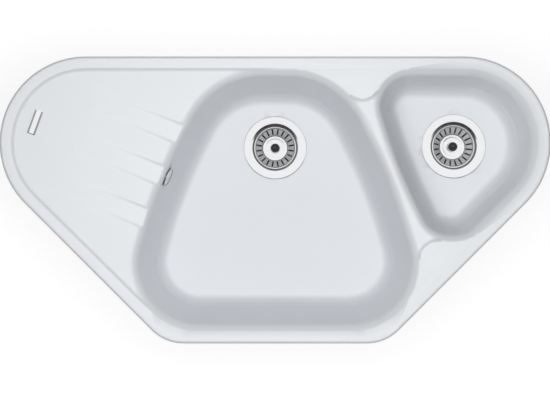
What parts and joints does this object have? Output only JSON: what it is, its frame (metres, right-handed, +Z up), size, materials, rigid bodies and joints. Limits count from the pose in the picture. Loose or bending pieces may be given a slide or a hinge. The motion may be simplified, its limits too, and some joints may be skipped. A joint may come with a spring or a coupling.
{
  "type": "corner kitchen sink",
  "caption": "White stone-composite corner sink with a drainer, a large and a small bowl, lift-out basket strainers, an overflow, waste bodies and swinging clamps under its rim.",
  "frame": {"origin": "middle of the overall width and depth, in the plane of the rim's underside that rests on the worktop", "axes": "+X to the right with the drainer on the left, +Y to the rear (the picture's top), +Z up"},
  "size_m": [0.96, 0.5, 0.311],
  "materials": {
    "composite": "fine-grained white stone composite, silky matte",
    "polished_steel": "polished stainless steel",
    "zinc_steel": "bright zinc-plated steel",
    "brass": "plain turned",
    "white_plastic": "moulded, satin",
    "grey_plastic": "moulded, satin",
    "dark_plastic": "moulded, gloss",
    "dark_rubber": "matte",
    "grey_rubber": "matte"
  },
  "bodies": {
    "sink": {"sink_body": "composite", "cup_gaskets": "grey_rubber", "waste_gaskets": "grey_rubber", "overflow_gasket": "grey_rubber", "waste_bolts": "polished_steel", "waste_nuts": "brass", "main_waste_body": "white_plastic", "small_waste_body": "white_plastic", "overflow_cover": "polished_steel", "overflow_screw": "polished_steel", "overflow_elbow": "white_plastic", "overflow_pipe": "white_plastic", "upper_pipe_nut": "white_plastic", "lower_pipe_nut": "white_plastic", "clamp_screws": "zinc_steel", "clamp_sleeves": "grey_plastic", "main_outlet_tube": "white_plastic", "main_strainer_cup": "polished_steel", "small_outlet_tube": "white_plastic", "small_strainer_cup": "polished_steel"},
    "main_basket": {"main_strainer_basket": "polished_steel", "main_basket_bush": "dark_plastic", "main_bush_ring": "polished_steel"},
    "main_stopper": {"main_stopper_stem": "polished_steel", "main_stopper_seal": "dark_rubber", "main_pull_knob": "dark_plastic"},
    "small_basket": {"small_strainer_basket": "polished_steel", "small_basket_bush": "dark_plastic", "small_bush_ring": "polished_steel"},
    "small_stopper": {"small_stopper_stem": "polished_steel", "small_stopper_seal": "dark_rubber", "small_pull_knob": "dark_plastic"},
    "claw_1": {"clamp_claw_1": "zinc_steel"},
    "claw_2": {"clamp_claw_2": "zinc_steel"},
    "claw_3": {"clamp_claw_3": "zinc_steel"},
    "claw_4": {"clamp_claw_4": "zinc_steel"},
    "claw_5": {"clamp_claw_5": "zinc_steel"},
    "claw_6": {"clamp_claw_6": "zinc_steel"},
    "claw_7": {"clamp_claw_7": "zinc_steel"},
    "claw_8": {"clamp_claw_8": "zinc_steel"}
  },
  "joints": [
    {"name": "main_basket_lift", "type": "slide", "parent": "sink", "child": "main_basket", "axis": [0, 0, 1], "range_m": [0, 0.26]},
    {"name": "main_stopper_lift", "type": "slide", "parent": "main_basket", "child": "main_stopper", "axis": [0, 0, 1], "range_m": [0, 0.0058]},
    {"name": "small_basket_lift", "type": "slide", "parent": "sink", "child": "small_basket", "axis": [0, 0, 1], "range_m": [0, 0.19]},
    {"name": "small_stopper_lift", "type": "slide", "parent": "small_basket", "child": "small_stopper", "axis": [0, 0, 1], "range_m": [0, 0.0058]},
    {"name": "claw_1_swing", "type": "hinge", "parent": "sink", "child": "claw_1", "pos_m": [-0.31, 0.229, -0.042], "axis": [0, 0, 1], "range_deg": [-90, 0]},
    {"name": "claw_2_swing", "type": "hinge", "parent": "sink", "child": "claw_2", "pos_m": [0, 0.229, -0.042], "axis": [0, 0, 1], "range_deg": [-90, 0]},
    {"name": "claw_3_swing", "type": "hinge", "parent": "sink", "child": "claw_3", "pos_m": [0.3, 0.229, -0.042], "axis": [0, 0, 1], "range_deg": [-90, 0]},
    {"name": "claw_4_swing", "type": "hinge", "parent": "sink", "child": "claw_4", "pos_m": [0, -0.229, -0.042], "axis": [0, 0, 1], "range_deg": [-90, 0]},
    {"name": "claw_5_swing", "type": "hinge", "parent": "sink", "child": "claw_5", "pos_m": [-0.36595, -0.04649, -0.042], "axis": [0, 0, 1], "range_deg": [-90, 0]},
    {"name": "claw_6_swing", "type": "hinge", "parent": "sink", "child": "claw_6", "pos_m": [-0.24435, -0.16809, -0.042], "axis": [0, 0, 1], "range_deg": [-90, 0]},
    {"name": "claw_7_swing", "type": "hinge", "parent": "sink", "child": "claw_7", "pos_m": [0.2554, -0.15703, -0.042], "axis": [0, 0, 1], "range_deg": [-90, 0]},
    {"name": "claw_8_swing", "type": "hinge", "parent": "sink", "child": "claw_8", "pos_m": [0.377, -0.03543, -0.042], "axis": [0, 0, 1], "range_deg": [-90, 0]}
  ]
}
